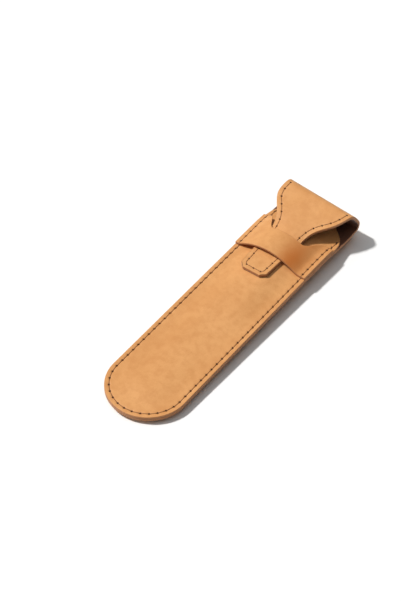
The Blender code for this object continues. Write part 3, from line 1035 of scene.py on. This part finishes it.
def tongue_sheet(name, start, end, columns, step, pierced_face):
    corner = TIP - TONGUE_CLIP
    rows = np.linspace(CUTS[4], corner, round((corner - CUTS[4]) / step) + 1)
    rows = np.append(rows, np.linspace(corner, TIP, round(TONGUE_CLIP / step) + 1)[1:])
    obj, column, row, side = slab(name, columns, len(rows) - 1)
    s = rows[row]
    across = half_width(s) * (2.0 * column / columns - 1.0)
    depth, hole = flap_dent(across, s)
    pierced = (1 - side) * pierced_face
    x, y, z = folded(s, across, start + side * (end - start) + depth * pierced)
    cut = (column == 0) | (column == columns) | (row == len(rows) - 1)
    form(obj, x, y, z, cut, cut & (side == 0) & (start == 0), hole * pierced)
    return obj


def blend_tongue(obj):
    blend_along(obj, "flap", "tongue", FLAP_END - NECK_BLEND, FLAP_END + NECK_BLEND)


tongue = tongue_sheet("tongue_outer_leather", 0.0, LEATHER, TONGUE_COLUMNS, TONGUE_STEP, 1)
finish_leather(tongue, "tongue_leather")
lining_grid = (TONGUE_LINING_COLUMNS, TONGUE_LINING_STEP)
tongue_inner = tongue_sheet("tongue_lining_skin", LINING_FROM, LINING_TO, *lining_grid, 0)
finish_with(tongue_inner, LINING_FINISH, "dark_lining", "tongue_lining")
for sheet in (tongue, tongue_inner):
    blend_tongue(sheet)

# %% [markdown]
# ## The retaining strap
# The strap is a bow-tie of slightly thicker leather, caught in both side seams. It humps over the
# tongue, and its waist lets the thumb push the tongue in. The needle goes through it and both panels.

# %% Form the strap
HUMP_HALF = 0.0175
STRAP_RISE = 0.00622
HUMP_FOOT = 0.12
STRAP_GAP = 0.00012
WAIST_HALF, WAIST_CURVE = 0.0088, 0.0080
STRAP_STEP = 0.0007
SIDE_BAND, STRAP_MIDDLE = 0.0100, 0.0110
# Where the shade on the strap's right shoulder is painted: across, along, and how far it fades.
PAINTED_SHADE_X, PAINTED_SHADE_WIDE = 0.0105, 0.0060
PAINTED_SHADE_Y, PAINTED_SHADE_FADE, PAINTED_SHADE_LEAST = 0.1150, 0.012, 0.55


def hump(x):
    """A parabola over the tongue that eases into the flat foot at either side."""
    u = 1.0 - ((x + FLAP_LEAN) / HUMP_HALF) ** 2
    return STRAP_RISE * 0.5 * (u + np.hypot(u, HUMP_FOOT))


def strap_height(x, y):
    return edge_height(y) + LEATHER + STRAP_GAP + hump(x)


def strap_top(x):
    t = smooth((np.abs(x) - WAIST_HALF) / WAIST_CURVE)
    return STRAP_WAIST_Y + (STRAP_HIGH_Y - STRAP_WAIST_Y) * t


def painted_strap_shade(x, y):
    """Painted shade on the right shoulder, which faces away from the key light; strongest towards the rounded
    end.
    """
    along = PAINTED_SHADE_LEAST + (1.0 - PAINTED_SHADE_LEAST) * smooth((PAINTED_SHADE_Y - y) / PAINTED_SHADE_FADE)
    return np.exp(-(((x - PAINTED_SHADE_X) / PAINTED_SHADE_WIDE) ** 2)) * along


STRAP_HOLES = sorted({float(h) for h in height_on_seam(HOLES) if STRAP_LOW_Y < h < STRAP_HIGH_Y})


def strap():
    sides = INSETS[INSETS < SIDE_BAND]
    middle = np.linspace(-STRAP_MIDDLE, STRAP_MIDDLE, 23)
    columns = np.concatenate([sides - HALF, middle, (HALF - sides)[::-1]])
    lines = lines_through(STRAP_HOLES, STRAP_LOW_Y, STRAP_HIGH_Y, STRAP_STEP)
    shares = (lines - STRAP_LOW_Y) / (STRAP_HIGH_Y - STRAP_LOW_Y)
    obj, column, row, side = slab("strap_leather", len(columns) - 1, len(shares) - 1)
    x = columns[column]
    y = STRAP_LOW_Y + (strap_top(x) - STRAP_LOW_Y) * shares[row]
    depth, hole = dent(HALF - np.abs(x) - SEAM_INSET, nearest(y, STRAP_HOLES))
    z = strap_height(x, y) + side * STRAP_LEATHER - depth * side
    cut = (column == 0) | (column == len(columns) - 1) | (row == 0) | (row == len(shares) - 1)
    form(obj, x, y, z, cut, cut, hole * side, painted_strap_shade(x, y) * side)
    return finish_leather(obj, "retaining_strap")


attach(strap(), "sleeve")

# %% [markdown]
# ## Stitches
# Each stitch is a short length of thread that rises out of one hole, lies in the groove and goes down
# the next. One is modelled from a cylinder with a few rings, then copied for every pair of holes and
# bent along the surface between them. A long tube would miss the dips that make a seam look sewn.

# %% Model one straight stitch
RINGS = 6


def stitch_blank():
    bpy.ops.object.select_all(action="DESELECT")
    bpy.ops.mesh.primitive_cylinder_add(vertices=6, radius=1, depth=1)
    obj = bpy.context.object
    bpy.ops.object.mode_set(mode="EDIT")
    bpy.ops.mesh.select_mode(type="EDGE")
    bpy.ops.mesh.select_all(action="DESELECT")
    bpy.ops.object.mode_set(mode="OBJECT")
    points = np.array([v.co for v in obj.data.vertices])
    for edge in obj.data.edges:
        low, high = (points[i][2] for i in edge.vertices)
        edge.select = abs(low - high) > 0.5
    bpy.ops.object.mode_set(mode="EDIT")
    bpy.ops.mesh.subdivide(number_cuts=RINGS)
    bpy.ops.object.mode_set(mode="OBJECT")
    return obj


BLANK = stitch_blank()
BLANK_CO = np.array([v.co for v in BLANK.data.vertices])
print("one stitch has", len(BLANK_CO), "points")


# %% [markdown]
# A copy of the straight stitch is bent between two holes. It dives and thins at both ends, where the
# needle pulled it through the leather, and lies proud of the groove between them.

# %% Bend a copy from hole to hole
THREAD_R = 0.00021
STITCH_GAP = 0.03
STITCH_DEEP, STITCH_CLIMB, CLIMB_SHARE = 0.00042, 0.00046, 0.20
THIN_END = 0.72


def place_stitch(surface, start, end):
    """A copy of the blank, bent along surface(t) from start to end. surface gives point and normal."""
    t = BLANK_CO[:, 2] + 0.5
    along = start + (end - start) * (STITCH_GAP + (1 - 2 * STITCH_GAP) * t)
    point, normal = surface(along)
    ahead, _ = surface(along + (end - start) * 0.01)
    tangent = (ahead - point) / np.linalg.norm(ahead - point, axis=1)[:, None]
    beside = np.cross(tangent, normal)
    risen = smooth((0.5 - np.abs(t - 0.5)) / CLIMB_SHARE)
    height = -STITCH_DEEP + STITCH_CLIMB * risen
    radius = THREAD_R * (THIN_END + (1 - THIN_END) * risen)
    places = point + normal * (height + radius * BLANK_CO[:, 1])[:, None]
    places += beside * (radius * BLANK_CO[:, 0])[:, None]
    copy = BLANK.copy()
    copy.data = BLANK.data.copy()
    bpy.context.scene.collection.objects.link(copy)
    copy.data.vertices.foreach_set("co", places.astype(np.float32).ravel())
    return copy


def sew(name, surface, marks):
    """Stitches between neighbouring marks, joined into one piece of thread."""
    copies = [place_stitch(surface, a, b) for a, b in zip(marks, marks[1:])]
    bpy.ops.object.select_all(action="DESELECT")
    for copy in copies:
        copy.select_set(True)
    bpy.context.view_layer.objects.active = copies[0]
    bpy.ops.object.join()
    obj = bpy.context.object
    obj.name = name
    obj.data.name = name
    bpy.ops.object.mode_set(mode="EDIT")
    bpy.ops.mesh.select_all(action="SELECT")
    bpy.ops.mesh.normals_make_consistent(inside=False)
    bpy.ops.object.mode_set(mode="OBJECT")
    bpy.ops.object.shade_smooth_by_angle(angle=math.radians(70))
    print(name, len(copies), "stitches")
    return obj


print("thread is", THREAD_R * 2, "thick")

# %% [markdown]
# ## Sewing the sleeve
# The needle thread shows on the front and the bobbin thread on the back. Over the strap the front
# thread climbs with it.

# %% Sew the sleeve's two faces
STEP_UP = 0.0002
NEARBY = 0.0001


def front_face(x, y):
    stepped_up = smooth((y - STRAP_LOW_Y + STEP_UP) / STEP_UP)
    on_strap = stepped_up * (1 - smooth((y - STRAP_HIGH_Y) / STEP_UP))
    plain = front_height(x, y) + LEATHER
    return plain + (strap_height(x, y) + STRAP_LEATHER - plain) * on_strap - GROOVE_DEPTH


def under_face(x, y):
    return back_height(x, y) + GROOVE_DEPTH


def seam_surface(face, up):
    def surface(arc):
        x, y = sleeve_point(arc, SEAM_INSET, lambda x: np.full(np.shape(x), SEAM_TOP))
        slope_x = (face(x + NEARBY, y) - face(x - NEARBY, y)) / (2 * NEARBY)
        normal = np.stack([-slope_x, np.zeros(len(x)), np.ones(len(x))], 1) * up
        normal /= np.linalg.norm(normal, axis=1)[:, None]
        z = face(x, y)
        return np.stack([x, skew(x, y, z) + END_Y, z], 1), normal

    return surface


front_thread = sew("sleeve_front_thread", seam_surface(front_face, 1.0), HOLES)
finish_with(front_thread, THREAD_FINISH, "brown_thread", "seam_thread_front")
back_thread = sew("sleeve_back_thread", seam_surface(under_face, -1.0), HOLES)
finish_with(back_thread, THREAD_FINISH, "brown_thread", "seam_thread_back")
for thread in (front_thread, back_thread):
    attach(thread, "sleeve")

# %% [markdown]
# ## Sewing the flap and tongue
# The same seam line is mirrored for the left side. The stitches are split where the tongue's sheet
# begins: those before it make the flap's threads, and those after it the tongue's.

# %% Sew the flap and tongue
LINE_LENGTHS = np.append(0.0, np.cumsum(np.hypot(*np.diff(FLAP_LINE, axis=0).T)))
FLAP_MARKS = np.linspace(0.0, LINE_LENGTHS[-1], len(FLAP_HOLES))


def flap_surface(sign):
    def surface(along):
        beyond = along > LINE_LENGTHS[-1]
        across = np.interp(along, LINE_LENGTHS, FLAP_LINE[:, 0])
        across = np.where(beyond, LINE_LENGTHS[-1] - along, across) * sign
        s = np.interp(along, LINE_LENGTHS, FLAP_LINE[:, 1])
        x, y, z = folded(s, across, np.full(len(s), GROOVE_DEPTH))
        heading = path(s)[2]
        normal = np.stack([np.zeros(len(s)), np.sin(heading), -np.cos(heading)], 1)
        return np.stack([x, skew(x, y, z) + END_Y, z], 1), normal

    return surface


split = int(np.searchsorted(FLAP_HOLES[:, 1], CUTS[4]))
for word, sign in (("left", -1.0), ("right", 1.0)):
    thread = sew(f"flap_{word}_thread", flap_surface(sign), FLAP_MARKS[: split + 1])
    finish_with(thread, THREAD_FINISH, "brown_thread", f"flap_thread_{word}")
    blend_flap(thread)
    thread = sew(f"tongue_{word}_thread", flap_surface(sign), FLAP_MARKS[split:])
    finish_with(thread, THREAD_FINISH, "brown_thread", "tongue_thread")
    blend_tongue(thread)

bpy.data.objects.remove(BLANK)

# %% [markdown]
# ## The table
# A case is shown on a plain white table. One big plane of white paper does for it. A stiff new case
# doesn't lie quite flat: its rounded end rests, and the heavy fold is sprung up a little. So the
# paper slopes away under the fold by a degree or two, which widens the shadow there.

# %% Make the table
FLOOR_TILT = math.radians(-1.6)
FLOOR_SIZE = 12.0
FLOOR_AT = (0.0, END_Y - 0.008, -0.0001)
bpy.ops.object.select_all(action="DESELECT")
bpy.ops.mesh.primitive_plane_add(size=FLOOR_SIZE, location=FLOOR_AT, rotation=(FLOOR_TILT, 0, 0))
floor = bpy.context.object
floor.name = "floor"
paper, _, shader, _ = new_material("white_paper")
shader.inputs["Base Color"].default_value = (0.90, 0.90, 0.90, 1.0)
shader.inputs["Roughness"].default_value = 0.9
floor.data.materials.append(paper)
print("table slopes", round(math.degrees(FLOOR_TILT), 2), "degrees")

# %% [markdown]
# ## The light
# A key light stands high at the left and makes the shadow to the right, with a slightly soft edge.
# A wide ceiling light, almost overhead, fills the shadow as a white room would, and a faint white
# world lifts what is left. Suns are used, because their light doesn't weaken across the table.

# %% Light it
world = bpy.data.worlds.new("white_room")
world.use_nodes = True
world.node_tree.nodes["Background"].inputs["Color"].default_value = (1.0, 1.0, 1.0, 1.0)
world.node_tree.nodes["Background"].inputs["Strength"].default_value = 0.10
bpy.context.scene.world = world
bpy.context.scene.view_settings.view_transform = "Standard"


def sun(name, energy, spread, colour, toward):
    light = bpy.data.objects.new(name, bpy.data.lights.new(name, "SUN"))
    light.data.energy = energy
    light.data.angle = math.radians(spread)
    light.data.color = colour
    light.rotation_mode = "QUATERNION"
    light.rotation_quaternion = Vector(toward).to_track_quat("Z", "Y")
    bpy.context.scene.collection.objects.link(light)


sun("key_light", energy=3.15, spread=5, colour=(1.0, 0.99, 0.97), toward=(-0.500, -0.250, 0.829))
sun("soft_ceiling", energy=0.85, spread=84, colour=(0.98, 0.99, 1.0), toward=(-0.25, -0.10, 0.96))
print("two lights and a white room")

# %% [markdown]
# ## The camera
# The case is seen from above and from its lower right, lying slantwise. A long lens more than a metre
# away keeps its two sides almost parallel.

# %% Set the camera
CAMERA_AT = Vector((0.44985, -0.62345, 0.85613))
LOOKING_AT = Vector((-0.01318, -0.00372, 0.00241))
LENS = 141.64
camera = bpy.data.objects.new("camera", bpy.data.cameras.new("camera"))
camera.data.sensor_width = 36.0
camera.data.lens = LENS
camera.data.clip_start = 0.05
camera.location = CAMERA_AT
camera.rotation_mode = "QUATERNION"
camera.rotation_quaternion = (CAMERA_AT - LOOKING_AT).to_track_quat("Z", "Y")
bpy.context.scene.collection.objects.link(camera)
bpy.context.scene.camera = camera
print("camera", round((CAMERA_AT - LOOKING_AT).length, 3), "m away")
